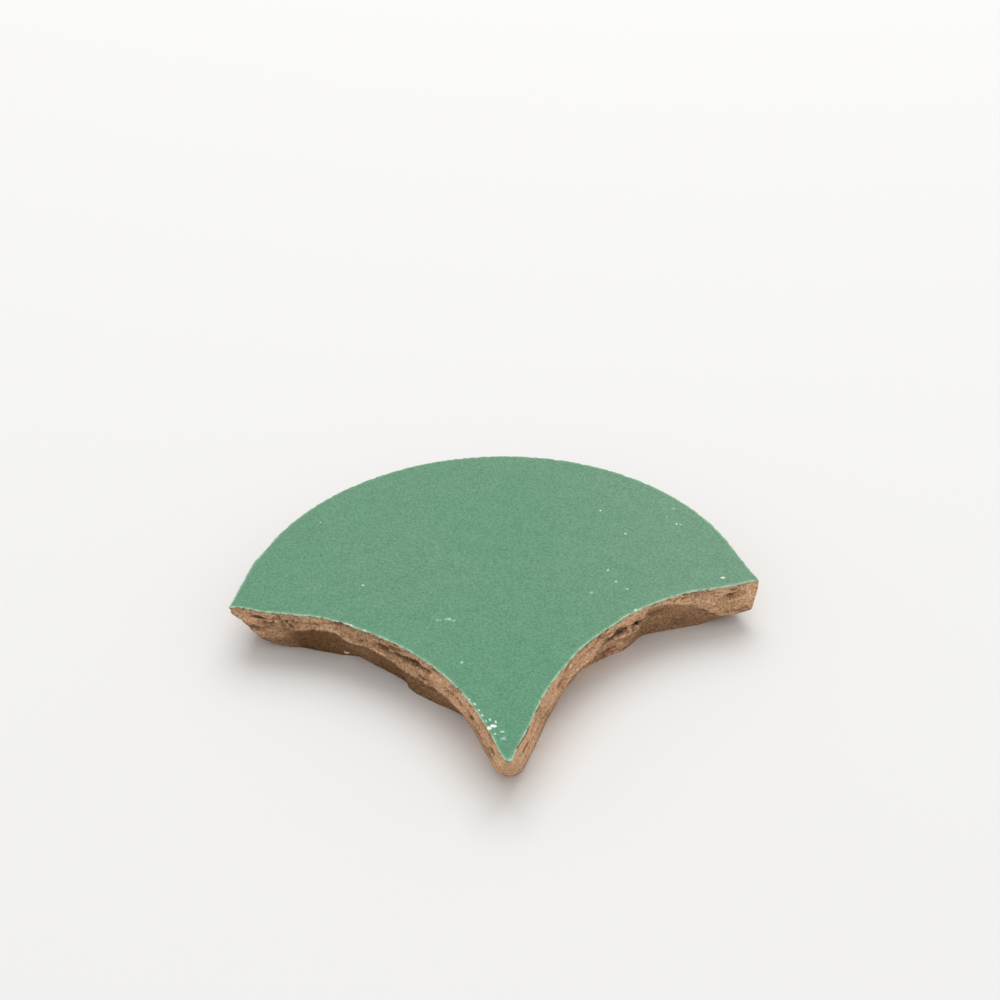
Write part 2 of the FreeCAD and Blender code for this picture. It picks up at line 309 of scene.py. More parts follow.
# How the recesses are cut back: an upright band down to a ridge, then a lean to the foot
recessCuts = {
    "lipBack": 0.12,         # under the glaze
    "ridgeBack": 0.20,
    "wallReach": 3.2,        # points further back than this lie on the bed
    # turn about the recess's centre in degrees, height of the ridge, how far back the foot is, height of
    # an upright ledge at the foot, painted shade on the lean, how far this cut takes the plain one's place
    "left": [
        (16, 5.2, 1.6, 0.0, 0.3, 0), (22, 5.2, 1.5, 0.0, 0.3, 1), (28, 5.3, 2.4, 0.0, 0.4, 1),
        (32.7, 5.3, 3.2, 0.0, 0.6, 1), (36, 5.2, 2.5, 0.0, 0.8, 1), (39, 5.0, 1.6, 0.0, 0.8, 1),
        (42, 4.8, 1.1, 0.0, 0.8, 1), (45, 4.8, 0.8, 0.0, 0.8, 1), (47.6, 4.9, 1.2, 0.0, 0.8, 1),
        (48.6, 5.0, 2.0, 0.0, 0.9, 1), (50, 5.3, 2.3, 0.0, 0.9, 1), (54, 6.1, 2.6, 0.0, 0.9, 1),
        (57.6, 6.6, 3.0, 0.0, 0.8, 1), (60, 6.2, 3.5, 0.0, 0.7, 1), (61.8, 5.8, 3.9, 0.0, 0.7, 1),
        (63.4, 6.4, 3.6, 0.0, 0.8, 1), (65.4, 7.7, 3.1, 0.0, 0.9, 1), (70.3, 7.2, 2.9, 0.0, 1.0, 1),
        (74.2, 6.4, 3.2, 0.0, 1.0, 1), (77.2, 6.4, 3.2, 0.0, 0.4, 0),
    ],
    "right": [
        (91, 4.0, 3.2, 0.0, 0.4, 0), (97, 3.2, 3.9, 0.0, 0.5, 1),
        (100, 3.3, 3.4, 0.0, 0.6, 1), (102, 4.6, 2.9, 0.0, 0.6, 1), (104, 5.9, 2.7, 0.0, 0.6, 1),
        (109, 8.1, 3.2, 0.0, 0.6, 1), (112, 9.0, 3.7, 0.0, 0.6, 1), (115.5, 9.6, 4.5, 0.0, 0.6, 1),
        (117.3, 9.6, 4.2, 0.0, 0.6, 1), (118.5, 7.6, 3.7, 0.0, 0.5, 1), (120, 5.4, 3.2, 1.0, 0.3, 1),
        (122, 5.3, 2.8, 2.6, 0.3, 1), (125, 6.0, 3.3, 3.0, 0.35, 1), (128.7, 6.1, 3.6, 2.6, 0.35, 1),
        (132, 6.0, 4.1, 1.6, 0.3, 1), (137, 5.6, 3.2, 0.6, 0.35, 1), (141, 5.4, 2.7, 0.0, 0.4, 1),
        (144.2, 5.3, 1.9, 0.0, 0.3, 1), (150.5, 5.3, 1.1, 0.0, 0.2, 1), (153.6, 5.3, 0.7, 0.0, 0.1, 1),
        (157, 5.2, 0.6, 0.0, 0.1, 1), (170, 5.2, 1.2, 0.0, 0.1, 0),
    ],
}


def cutAt(rows, turn):
    # the row at a turn, worked out between its neighbours
    for first, last in zip(rows, rows[1:]):
        if first[0] <= turn <= last[0]:
            share = ramp(first[0], last[0], turn)
            return [start + (end - start) * share for start, end in zip(first[1:], last[1:])]
    return None


def cutRecess(tile, side, rows):
    cuts = recessCuts
    centre = recessCentre(side)
    arc = tileShape["crownRadius"] + tileShape["joint"]
    top = tileShape["thickness"] - depthOf("clayTop")
    clayStart = tileShape["thickness"] - tileShape["glazeSkin"]
    for vert in tile.data.vertices:
        place = vert.co.xy - centre
        back = place.length - arc
        row = cutAt(rows, math.atan2(place.y, place.x) / deg)
        if vert.co.z > clayStart or back > cuts["wallReach"] * mm or row is None:
            continue
        ridge, foot, ledge = [value * mm for value in row[:3]]
        share = row[4]
        down = ramp(top, ridge, vert.co.z)
        under = ramp(ridge, ledge, vert.co.z)
        wall = cuts["lipBack"] + (cuts["ridgeBack"] - cuts["lipBack"]) * down
        wall = wall * mm + (foot - cuts["ridgeBack"] * mm) * under
        vert.co.xy = centre + place.normalized() * (arc + back + (wall - back) * share)


def cutRecesses(tile):
    cutRecess(tile, -1, recessCuts["left"])
    cutRecess(tile, 1, recessCuts["right"])
    print("recesses cut")


# Clay broken off under the corners
cornerChips = {
    # side, height where it leaves the corner, run along the bed, direction it faces in degrees
    "chips": [(-1, 9.6, 7.8, 32), (-1, 4.6, 7.0, 58), (1, 3.6, 8.2, 45)],
    "reach": 22 * mm,
    "faceMargin": 0.6 * mm,      # a chip stops this far under the face
    "bedMargin": 0.02 * mm,
    "merge": 0.16 * mm,
    "smoothing": 0.5,
    "smoothRounds": 2,
}


def breakOff(tile, side, rise, run, turn):
    # a chip lifts whatever hangs under its sloping plane
    shape = tileShape
    chip = cornerChips
    centre = recessCentre(1)
    recess = shape["crownRadius"] + shape["joint"]
    cornerY = centre.y + math.sqrt(recess ** 2 - (shape["cornerGap"] / 2) ** 2)
    corner = Vector((side * shape["cornerReach"], cornerY))
    facing = Vector((side * math.cos(turn), -math.sin(turn)))
    ceiling = shape["thickness"] - chip["faceMargin"]
    reach = chip["reach"]
    for vert in tile.data.vertices:
        away = vert.co.xy - corner
        if vert.co.z > ceiling or away.length > reach:
            continue
        plane = rise * (1 + away.dot(facing) / run)
        vert.co.z = max(vert.co.z, min(plane, ceiling))
    # rows that the chip laid on each other are merged
    editPiece(tile)
    selectVerts(tile, lambda co: chip["bedMargin"] < co.z < ceiling and (co.xy - corner).length < reach)
    bpy.ops.mesh.remove_doubles(threshold=chip["merge"])
    bpy.ops.mesh.vertices_smooth(factor=chip["smoothing"], repeat=chip["smoothRounds"])
    bpy.ops.object.mode_set(mode="OBJECT")


def mendFolds(tile):
    # the chips leave a few folded faces, which are taken out and filled
    editPiece(tile)
    bpy.ops.mesh.select_non_manifold()
    bpy.ops.mesh.delete(type="VERT")
    bpy.ops.mesh.select_non_manifold()
    bpy.ops.mesh.fill_holes(sides=0)
    bpy.ops.mesh.quads_convert_to_tris()
    bpy.ops.object.mode_set(mode="OBJECT")


def chipCorners(tile):
    for side, rise, run, turn in cornerChips["chips"]:
        breakOff(tile, side, rise * mm, run * mm, turn * deg)
    mendFolds(tile)
    print("corners chipped")


# Single marks of the hand work, in mm
handMarks = {
    "bendWidth": 0.8,
    "glazeMargin": 0.1,      # of clay that no mark touches, under the glaze
    # the outline isn't true: from, to, move across and along, soft border
    "bends": [
        ((0.0, -44.0), (0.0, -42.5), (-0.35, 0.0), 7.0),
        ((-51.6, 2.0), (-51.2, 2.0), (0.0, 1.4), 6.5),
        ((-49.9, 9.2), (-46.5, 16.0), (-0.45, 0.0), 4.0),
        ((51.6, 2.0), (51.2, 2.0), (0.1, 0.4), 4.0),
        ((44.0, 1.2), (45.0, 1.4), (0.0, -0.2), 4.0),
        ((-34.0, -1.4), (-30.5, -3.0), (0.17, 0.37), 4.0),
        ((26.0, -5.2), (36.5, -0.3), (-0.18, 0.40), 5.0),
        ((4.5, -33.0), (11.5, -19.6), (0.32, -0.19), 5.0),
    ],
    # from, to, how far it stands out of the cut, half width, soft border
    "lumps": [
        ((-47.0, 1.7, 7.0), (-43.6, 1.4, 6.4), 0.35, 0.5, 0.9),
    ],
    # from, to, depth
    "slots": [
        ((-30.3, -3.2, 10.0), (-28.6, -4.0, 9.8), 0.6),
        ((-23.0, -7.6, 8.2), (-21.7, -8.5, 8.2), 1.1),
        ((-20.7, -9.3, 8.8), (-19.0, -10.7, 9.0), 0.8),
        ((-18.1, -11.5, 8.6), (-16.3, -13.3, 8.5), 0.5),
        ((-42.2, 1.0, 9.8), (-41.2, 0.7, 7.0), 0.7),
        ((-49.6, 2.6, 10.1), (-45.7, 1.6, 9.2), 0.3),
        ((-40.1, 0.5, 7.8), (-39.5, 0.3, 6.9), 0.7),
        ((-27.0, -4.9, 8.4), (-25.5, -5.8, 6.9), 0.5),
        ((-16.4, -13.2, 6.2), (-15.3, -14.4, 5.6), 0.6),
        ((-8.6, -23.3, 7.4), (-7.8, -24.8, 7.2), 1.0),
        ((-6.5, -27.3, 7.0), (-5.9, -28.7, 6.3), 0.8),
        ((-5.8, -29.0, 5.1), (-5.1, -30.6, 5.3), 0.8),
        ((-4.8, -31.5, 4.8), (-3.8, -34.2, 4.5), 0.75),
        ((-3.5, -35.5, 6.3), (-2.6, -38.0, 7.2), 0.75),
        ((-9.8, -21.5, 9.4), (-8.2, -24.1, 9.4), 0.4),
        ((6.5, -27.3, 6.2), (7.4, -25.5, 6.0), 0.85),
        ((3.7, -34.5, 5.4), (4.2, -33.0, 5.7), 0.8),
        ((2.9, -37.4, 7.4), (3.4, -36.0, 7.2), 0.7),
        ((26.4, -4.9, 5.6), (26.8, -4.6, 7.5), 0.7),
        ((26.9, -4.6, 7.6), (28.1, -3.9, 7.6), 0.5),
        ((28.1, -3.9, 7.4), (28.9, -3.5, 6.4), 0.6),
        ((19.4, -10.4, 9.6), (19.7, -10.2, 9.6), 0.7),
        ((45.8, 1.6, 9.4), (46.4, 1.8, 9.4), 0.12),
        ((38.2, -0.1, 7.1), (39.9, 0.4, 6.3), 0.4),
    ],
    "slotWidth": 0.24,
    "slotBorder": 0.75,
}


def bendOutline(tile):
    editPiece(tile)
    for first, last, move, border in handMarks["bends"]:
        start = inMetres(first)
        end = inMetres(last)
        selectVerts(tile, lambda co: farFromLine(co.xy, start, end) < handMarks["bendWidth"] * mm)
        bpy.ops.transform.translate(
            value=inMetres(move).to_3d(), use_proportional_edit=True,
            proportional_edit_falloff="SMOOTH", proportional_size=border * mm,
        )
    bpy.ops.object.mode_set(mode="OBJECT")
    print("outline bent")


def hideGlaze(tile):
    clayStart = tileShape["thickness"] - tileShape["glazeSkin"] - handMarks["glazeMargin"] * mm
    selectVerts(tile, lambda co: co.z > clayStart)
    bpy.ops.mesh.hide(unselected=False)


def nearestVert(tile, point):
    net = bmesh.from_edit_mesh(tile.data)
    shown = [vert for vert in net.verts if not vert.hide]
    return min(shown, key=lambda vert: (vert.co - point).length).co.copy()


def farFromLine(place, first, last):
    line = last - first
    share = ramp(0, line.length_squared, (place - first).dot(line))
    return (place - first - share * line).length


def workLine(tile, first, last, depth, width, border, falloff):
    # pushes a narrow patch of the cut edge in, or out where the depth is negative
    start = nearestVert(tile, inMetres(first))
    end = nearestVert(tile, inMetres(last))
    selectVerts(tile, lambda co: farFromLine(co, start, end) < width * mm)
    inward = ((start + end) / 2).xy - recessCentre(math.copysign(1, start.x))
    bpy.ops.transform.translate(
        value=(inward.normalized() * depth * mm).to_3d(), use_proportional_edit=True,
        proportional_edit_falloff=falloff, proportional_size=border * mm,
    )


def workByHand(tile):
    marks = handMarks
    editPiece(tile)
    hideGlaze(tile)
    for first, last, height, width, border in marks["lumps"]:
        workLine(tile, first, last, -height, width, border, "SMOOTH")
    for first, last, depth in marks["slots"]:
        workLine(tile, first, last, depth, marks["slotWidth"], marks["slotBorder"], "SHARP")
    bpy.ops.mesh.reveal(select=False)
    bpy.ops.object.mode_set(mode="OBJECT")
    print("lumps and slots worked")


# How rough the cut is, in order of size
cutRoughness = {
    "layerDepth": 0.60 * mm,
    "layerHeight": 1.1 * mm,
    "layerStretch": 5.0,
    "layerMiddle": 0.55,
    "slotDepth": 0.9 * mm,
    "slotHeight": 1.76 * mm,
    "slotStops": [(0.57, 1.0), (0.69, 0.0)],
    "gritDepth": 0.42 * mm,
    "gritSize": 0.8 * mm,
    "gritMiddle": 0.5,
    "poreDepth": 0.45 * mm,
    "poreSize": 1.5 * mm,
    "poreStops": [(0.08, 0.0), (0.28, 1.0)],
    "nibbleDepth": 0.25 * mm,
    "nibbleSize": 1.1 * mm,
    "nibbleStops": [(0.30, 0.0), (0.50, 1.0)],
    "waveDepth": 0.10 * mm,
    "waveSize": 16 * mm,
    "underLean": (0.14, 0.32),   # how far a face looks down where the undercut starts and is in full
    "underSmooth": 0.35,         # how much smoother the undercut is than the band over it
    "thinCorner": (0.5 * mm, 5.0 * mm),
    "fullUnder": 1.1 * mm,       # depth under the face from which the cut is as rough as anywhere
    "bedBorder": 0.6 * mm,
    "glazeEdge": (0.04 * mm, 0.6 * mm),
}


def weigh(tile, name, rule):
    group = tile.vertex_groups.new(name=name)
    for vert in tile.data.vertices:
        weight = rule(vert)
        if weight > 0:
            group.add([vert.index], min(weight, 1), "REPLACE")


def noiseTexture(name, kind, size, stops=None, octaves=None):
    texture = bpy.data.textures.new(name, kind)
    texture.noise_scale = size
    if octaves:
        texture.noise_depth = octaves
    if stops:
        texture.use_color_ramp = True
        band = texture.color_ramp
        for element, (place, shade) in zip(band.elements, stops):
            element.position = place
            element.color = (shade, shade, shade, 1)
    return texture


def roughen(tile, texture, group, depth, middle=1.0, stretch=1.0):
    # pushes the grouped vertices along their normals by a texture, which may be stretched level
    makeActive(tile)
    push = tile.modifiers.new(texture.name, "DISPLACE")
    push.texture = texture
    push.vertex_group = group
    push.strength = depth
    push.mid_level = middle
    guide = None
    if stretch != 1.0:
        bpy.ops.object.empty_add()
        guide = bpy.context.object
        guide.scale = (stretch, stretch, 1)
        bpy.context.view_layer.update()
        push.texture_coords = "OBJECT"
        push.texture_coords_object = guide
        makeActive(tile)
    bpy.ops.object.modifier_apply(modifier=push.name)
    if guide:
        bpy.data.objects.remove(guide)


def underside(normal):
    # 0 on the upright band, 1 where the cut leans back under it
    return ramp(*cutRoughness["underLean"], -normal.z)


def roughenCut(tile):
    top = tileShape["thickness"]
    reach = tileShape["cornerReach"]
    skin = tileShape["glazeSkin"]
    cut = cutRoughness
    edgeTop, edgeBottom = cut["glazeEdge"]

    def clayWeight(vert):
        # nothing is moved at the bed, at the glaze or in the thin corners
        spared = ramp(*cut["thinCorner"], reach - abs(vert.co.x))
        middle = ramp(skin, cut["fullUnder"], top - vert.co.z) * ramp(0.0, cut["bedBorder"], vert.co.z)
        return spared * middle * (1 - cut["underSmooth"] * underside(vert.normal))

    weigh(tile, "cutFace", clayWeight)
    weigh(tile, "glazeEdge", lambda vert: float(edgeTop < top - vert.co.z < edgeBottom))
    weigh(tile, "glazeFace", lambda vert: float(top - vert.co.z < edgeTop))
    layers = noiseTexture("layers", "CLOUDS", cut["layerHeight"], octaves=3)
    layers.noise_type = "HARD_NOISE"
    slots = noiseTexture("slots", "CLOUDS", cut["slotHeight"], cut["slotStops"], octaves=2)
    grit = noiseTexture("grit", "CLOUDS", cut["gritSize"], octaves=4)
    pores = noiseTexture("pores", "VORONOI", cut["poreSize"], cut["poreStops"])
    nibbles = noiseTexture("nibbles", "CLOUDS", cut["nibbleSize"], cut["nibbleStops"], octaves=3)
    wave = noiseTexture("wave", "CLOUDS", cut["waveSize"])
    roughen(tile, layers, "cutFace", cut["layerDepth"], cut["layerMiddle"], cut["layerStretch"])
    roughen(tile, slots, "cutFace", cut["slotDepth"], stretch=cut["layerStretch"])
    roughen(tile, grit, "cutFace", cut["gritDepth"], cut["gritMiddle"])
    roughen(tile, pores, "cutFace", cut["poreDepth"])
    roughen(tile, nibbles, "glazeEdge", cut["nibbleDepth"])
    roughen(tile, wave, "glazeFace", cut["waveDepth"])
    print("cut edge roughened")


# Painted shade on the undercut and a painted highlight along its ridge, with heights in mm
undercutShade = {
    "plain": 0.6,            # painted shade on faces that look down, where no recess is cut
    "tipFade": (-38 * mm, -32 * mm),
    "tipShare": 0.4,         # of the plain painted shade that is left at the tip
    "recessReach": 6 * mm,
    "wobble": [(900, 1 / 3), (2600, 1 / 2)],   # ripples to the metre and their swing
    "wobbleRise": 0.45,
    "ridgeBlur": 0.35,
    "ledgeBlur": 0.6,
    "highlightRise": 0.3,         # the painted highlight lies just over the ridge
    "highlightReach": (0.40, 0.10),
}


def paintedShadeAndHighlight(place, normal):
    # how much painted shade the undercut gets at a place, and how much painted highlight its ridge gets there
    shade = undercutShade
    side = math.copysign(1, place.x)
    rows = recessCuts["right"] if side > 0 else recessCuts["left"]
    away = place.xy - recessCentre(side)
    arc = tileShape["crownRadius"] + tileShape["joint"]
    wobble = sum(ripple(place * scale) * swing for scale, swing in shade["wobble"])
    row = cutAt(rows, math.atan2(away.y, away.x) / deg + wobble)
    fade = shade["tipShare"] + (1 - shade["tipShare"]) * ramp(*shade["tipFade"], place.y)
    # painted shade on faces that look down, less of it at the tip
    plain = shade["plain"] * underside(normal) * fade
    if row is None or away.length > arc + shade["recessReach"]:
        return plain, 0.0
    ridge = row[0]
    ledge, brown, share = row[2:]
    height = place.z / mm + shade["wobbleRise"] * wobble
    lean = ramp(ridge + shade["ridgeBlur"], ridge - shade["ridgeBlur"], height)
    lean *= ramp(ledge - shade["ledgeBlur"], ledge, height)
    # painted highlight along a line just over the ridge
    wearAndHighlight = ramp(*shade["highlightReach"], abs(height - ridge - shade["highlightRise"]))
    return plain + (lean * brown - plain) * share, wearAndHighlight * share


def markHollows(tile, smooth):
    # how far the marks and the roughening sank each point of the cut, the painted shade where the cut leans
    # back, and a painted highlight along its ridge
    sunk = [(place - vert.co).dot(normal) / mm for vert, (place, normal) in zip(tile.data.vertices, smooth)]
    tile.data.attributes.new("clayHollow", "FLOAT", "POINT").data.foreach_set("value", sunk)
    shades = [paintedShadeAndHighlight(place, normal) for place, normal in smooth]
    for index, name in enumerate(("underShade", "ridgeHighlight")):
        values = [shade[index] for shade in shades]
        tile.data.attributes.new(name, "FLOAT", "POINT").data.foreach_set("value", values)


def addNode(tree, kind, inputs=None, **settings):
    # an input is either a fixed value or another node's output
    item = tree.nodes.new(kind)
    for name, value in settings.items():
        setattr(item, name, value)
    for name, value in (inputs or {}).items():
        socket = item.inputs[name]
        if isinstance(value, bpy.types.NodeSocket):
            tree.links.new(value, socket)
        else:
            socket.default_value = value
    return item


def mathNode(tree, operation, first, second=0.0):
    item = addNode(tree, "ShaderNodeMath", {0: first, 1: second}, operation=operation)
    return item.outputs["Value"]


def vectorNode(tree, operation, first, second):
    return addNode(tree, "ShaderNodeVectorMath", {0: first, 1: second}, operation=operation).outputs["Vector"]


def spread(tree, value, low, high, newLow=0.0, newHigh=1.0):
    inputs = {"Value": value, "From Min": low, "From Max": high, "To Min": newLow, "To Max": newHigh}
    return addNode(tree, "ShaderNodeMapRange", inputs).outputs["Result"]


def mixColour(tree, factor, first, second, blend="MIX"):
    item = addNode(tree, "ShaderNodeMix", data_type="RGBA", blend_type=blend)
    for index, value in ((0, factor), (6, first), (7, second)):
        if isinstance(value, bpy.types.NodeSocket):
            tree.links.new(value, item.inputs[index])
        else:
            item.inputs[index].default_value = value
    return item.outputs[2]


def noise(tree, place, scale, detail=2.0, roughness=0.5):
    inputs = {"Vector": place, "Scale": scale, "Detail": detail, "Roughness": roughness}
    return addNode(tree, "ShaderNodeTexNoise", inputs).outputs["Fac"]


def attribute(tree, name):
    return addNode(tree, "ShaderNodeAttribute", attribute_name=name).outputs["Fac"]


def newGroup(name, inputs, outputs):
    group = bpy.data.node_groups.new(name, "ShaderNodeTree")
    for socketName, socketType, start in inputs:
        socket = group.interface.new_socket(name=socketName, in_out="INPUT", socket_type=socketType)
        if start is not None:
            socket.default_value = start
    for socketName, socketType in outputs:
        group.interface.new_socket(name=socketName, in_out="OUTPUT", socket_type=socketType)
    givenNode = group.nodes.new("NodeGroupInput")
    resultNode = group.nodes.new("NodeGroupOutput")
    return group, givenNode.outputs, resultNode.inputs


grainPattern = {
    "detail": 3.0,
    "roughness": 0.6,
    "swing": (0.25, 0.75, -1.0, 1.0),
}


def makeGrainGroup():
    # fine mottling: a value about 1 that swings by Contrast
    group, given, result = newGroup(
        "fineGrain",
        [
            ("Place", "NodeSocketVector", None),
            ("Scale", "NodeSocketFloat", 2000),
            ("Contrast", "NodeSocketFloat", 0.1),
        ],
        [("Shade", "NodeSocketFloat")],
    )
    pattern = grainPattern
    mottle = noise(group, given["Place"], given["Scale"], pattern["detail"], pattern["roughness"])
    swing = spread(group, mottle, *pattern["swing"])
    shade = mathNode(group, "MULTIPLY_ADD", swing, given["Contrast"])
    shade.node.inputs[2].default_value = 1.0
    group.links.new(shade, result["Shade"])
    return group


markPattern = {
    "fleckScale": 3400.0,
    "detail": 4.0,
    "roughness": 0.75,
    "fade": (1.0, 0.2),      # from the edge of the oval to where it is in full
    "blur": 0.06,
}


def makeMarkGroup():
    # one scuff, chip or fleck: an oval, broken up by noise
    group, given, result = newGroup(
        "oneMark",
        [
            ("Place", "NodeSocketVector", None),
            ("Centre", "NodeSocketVector", None),
            ("Turn", "NodeSocketFloat", 0.0),
            ("Size", "NodeSocketVector", None),
            ("Cover", "NodeSocketFloat", 0.5),
        ],
        [("Mask", "NodeSocketFloat")],
    )
    away = vectorNode(group, "SUBTRACT", given["Place"], given["Centre"])
    turned = addNode(
        group, "ShaderNodeVectorRotate", {"Vector": away, "Angle": given["Turn"]}, rotation_type="Z_AXIS",
    )
    scaled = vectorNode(group, "DIVIDE", turned.outputs["Vector"], given["Size"])
    far = addNode(group, "ShaderNodeVectorMath", {0: scaled}, operation="LENGTH").outputs["Value"]
    pattern = markPattern
    oval = spread(group, far, *pattern["fade"])
    flecks = noise(group, given["Place"], pattern["fleckScale"], pattern["detail"], pattern["roughness"])
    edge = mathNode(group, "SUBTRACT", 1.0, mathNode(group, "MULTIPLY", oval, given["Cover"]))
    over = mathNode(group, "SUBTRACT", flecks, edge)
    group.links.new(spread(group, over, 0.0, pattern["blur"]), result["Mask"])
    return group


def addGrain(tree, grainGroup, place, colour, scale, contrast):
    inputs = {"Place": place, "Scale": scale, "Contrast": contrast}
    grain = addNode(tree, "ShaderNodeGroup", inputs, node_tree=grainGroup)
    return mixColour(tree, 1.0, colour, grain.outputs["Shade"], "MULTIPLY")


def addBump(tree, shader, height, strength, depth):
    bump = addNode(tree, "ShaderNodeBump", {"Height": height, "Strength": strength, "Distance": depth})
    tree.links.new(bump.outputs["Normal"], shader.inputs["Normal"])


def addMark(tree, markGroup, place, colour, paint, centre, turn, size, cover):
    mark = addNode(tree, "ShaderNodeGroup", node_tree=markGroup)
    tree.links.new(place, mark.inputs["Place"])
    mark.inputs["Centre"].default_value = inMetres(centre)
    mark.inputs["Turn"].default_value = turn * deg
    mark.inputs["Size"].default_value = inMetres(size)
    mark.inputs["Cover"].default_value = cover
    return mixColour(tree, mark.outputs["Mask"], colour, paint)


# A range is two readings, and where it goes on, the two values that are given for them
glazeLook = {
    "sage": (0.121, 0.286, 0.171, 1),
    "green": (0.105, 0.282, 0.162, 1),
    "deep": (0.088, 0.287, 0.159, 1),
    # greyer glaze for the painted reflection on the right
    "reflectedGrey": (0.135, 0.297, 0.180, 1),
    "edge": (0.44, 0.68, 0.47, 1),
    "faint": (0.30, 0.52, 0.40, 1),
    "pale": (0.50, 0.74, 0.58, 1),
    "cream": (0.74, 0.80, 0.60, 1),
    "white": (0.90, 0.92, 0.90, 1),
    "speck": (0.075, 0.115, 0.060, 1),
    "driftScale": 42.0,
    "driftRange": (0.35, 0.65),
    "tipRange": (20 * mm, -45 * mm, 0.0, 0.8),
    "rightReflectionRange": (8 * mm, 40 * mm),
    "grainScale": 2400,
    "grainContrast": 0.38,
    "rimScale": 900.0,
    "rimRange": (0.30, 0.55, 0.35, 1.0),
    "glossScale": 300.0,
    "glossRange": (0.3, 0.7, 0.50, 0.64),
    "specular": 0.35,
    "dimpleScale": 1400.0,
    "dimpleStrength": 0.15,
    "dimpleDepth": 0.05 * mm,
    # colour, x, y, turn in degrees, half length, half width in mm, cover
    "marks": [
        ("pale", -3.0, -32.9, 0, 0.45, 0.7, 0.80),
        ("pale", -2.0, -33.6, 0, 0.40, 0.9, 0.80),
        ("deep", -2.5, -33.4, 0, 0.35, 0.6, 0.95),
        ("white", -3.3, -35.1, 20, 0.9, 0.7, 0.95),
        ("white", -2.5, -34.6, 20, 1.1, 0.7, 0.95),
        ("pale", -0.95, -36.2, 10, 0.9, 0.5, 0.72),
        ("pale", -2.3, -36.7, 0, 0.45, 0.5, 0.78),
        ("faint", -0.9, -38.0, 0, 1.6, 1.2, 0.60),
        ("cream", -6.4, -27.2, 62, 0.5, 0.3, 0.80),
        ("cream", -5.5, -28.5, 62, 0.7, 0.35, 0.80),
        ("cream", -4.8, -30.2, 62, 0.5, 0.3, 0.80),
        ("cream", -4.3, -31.6, 65, 0.7, 0.3, 0.80),
        ("cream", -3.7, -33.2, 65, 0.5, 0.3, 0.78),
        ("cream", -28.2, -3.9, 29, 1.8, 0.45, 0.66),
        ("cream", -25.4, -5.8, 33, 1.2, 0.35, 0.62),
        ("faint", -11.2, -4.1, 4, 1.8, 0.9, 0.58),
        ("faint", -9.4, -4.0, -4, 1.8, 1.3, 0.61),
        ("pale", -9.1, -4.0, 0, 1.3, 0.8, 0.56),
        ("faint", -8.3, -4.5, -12, 1.2, 0.9, 0.60),
        ("pale", -25.6, 7.9, 0, 0.6, 0.6, 0.75),
        ("pale", -7.3, -16.8, 0, 0.6, 0.6, 0.75),
        ("pale", 22.6, 8.3, 0, 0.6, 0.6, 0.75),
        ("pale", 23.8, 4.6, 0, 0.5, 0.5, 0.80),
        ("pale", 25.7, 2.1, 30, 0.8, 0.4, 0.72),
        ("faint", 18.7, 1.6, 0, 1.2, 1.0, 0.66),
        ("cream", 44.7, 3.9, 20, 0.9, 0.7, 0.75),
        ("cream", 26.6, -4.4, -30, 0.7, 0.5, 0.75),
        ("faint", 28.4, 42.8, -30, 1.8, 0.5, 0.70),
        ("cream", 23.2, 28.2, 0, 0.5, 0.6, 0.75),
        ("cream", 27.4, 19.8, 0, 0.45, 0.55, 0.75),
        ("cream", 38.1, 22.2, 0, 0.45, 0.55, 0.75),
        ("pale", 38.8, 21.9, 0, 0.4, 0.5, 0.72),
        ("faint", 38.2, 27.5, 0, 0.6, 0.7, 0.70),
        ("faint", 36.4, 24.6, 0, 0.5, 0.6, 0.70),
        ("speck", 37.9, 18.2, 0, 0.45, 0.5, 0.78),
        ("speck", -34.0, 18.2, 0, 0.5, 0.6, 0.78),
        ("pale", -34.2, 29.4, 0, 0.4, 0.5, 0.72),
    ],
}


def makeGlaze(grainGroup, markGroup):
    look = glazeLook
    paint = bpy.data.materials.new("greenGlaze")
    paint.use_nodes = True
    tree = paint.node_tree
    shader = tree.nodes["Principled BSDF"]
    place = addNode(tree, "ShaderNodeTexCoord").outputs["Object"]
    drift = spread(tree, noise(tree, place, look["driftScale"], detail=3.0), *look["driftRange"])
    parts = addNode(tree, "ShaderNodeSeparateXYZ", {"Vector": place}).outputs
    tipward = spread(tree, parts["Y"], *look["tipRange"])
    # painted reflection: the glaze turns greyer toward the right
    rightReflection = spread(tree, parts["X"], *look["rightReflectionRange"])
    colour = mixColour(tree, drift, look["sage"], look["green"])
    colour = mixColour(tree, tipward, colour, look["deep"])
    colour = mixColour(tree, rightReflection, colour, look["reflectedGrey"])
    colour = addGrain(tree, grainGroup, place, colour, look["grainScale"], look["grainContrast"])
    broken = spread(tree, noise(tree, place, look["rimScale"], detail=3.0), *look["rimRange"])
    wornAndHighlight = mathNode(tree, "MULTIPLY", attribute(tree, "rimWear"), broken)
    colour = mixColour(tree, wornAndHighlight, colour, look["edge"])
    height = tileShape["thickness"] / mm
    for tone, x, y, turn, long, wide, cover in look["marks"]:
        size = (long, wide, height)
        colour = addMark(tree, markGroup, place, colour, look[tone], (x, y, height), turn, size, cover)
    tree.links.new(colour, shader.inputs["Base Color"])
    gloss = spread(tree, noise(tree, place, look["glossScale"], detail=3.0), *look["glossRange"])
    tree.links.new(gloss, shader.inputs["Roughness"])
    shader.inputs["Specular IOR Level"].default_value = look["specular"]
    dimples = noise(tree, place, look["dimpleScale"], detail=3.0)
    addBump(tree, shader, dimples, look["dimpleStrength"], look["dimpleDepth"])
    return paint


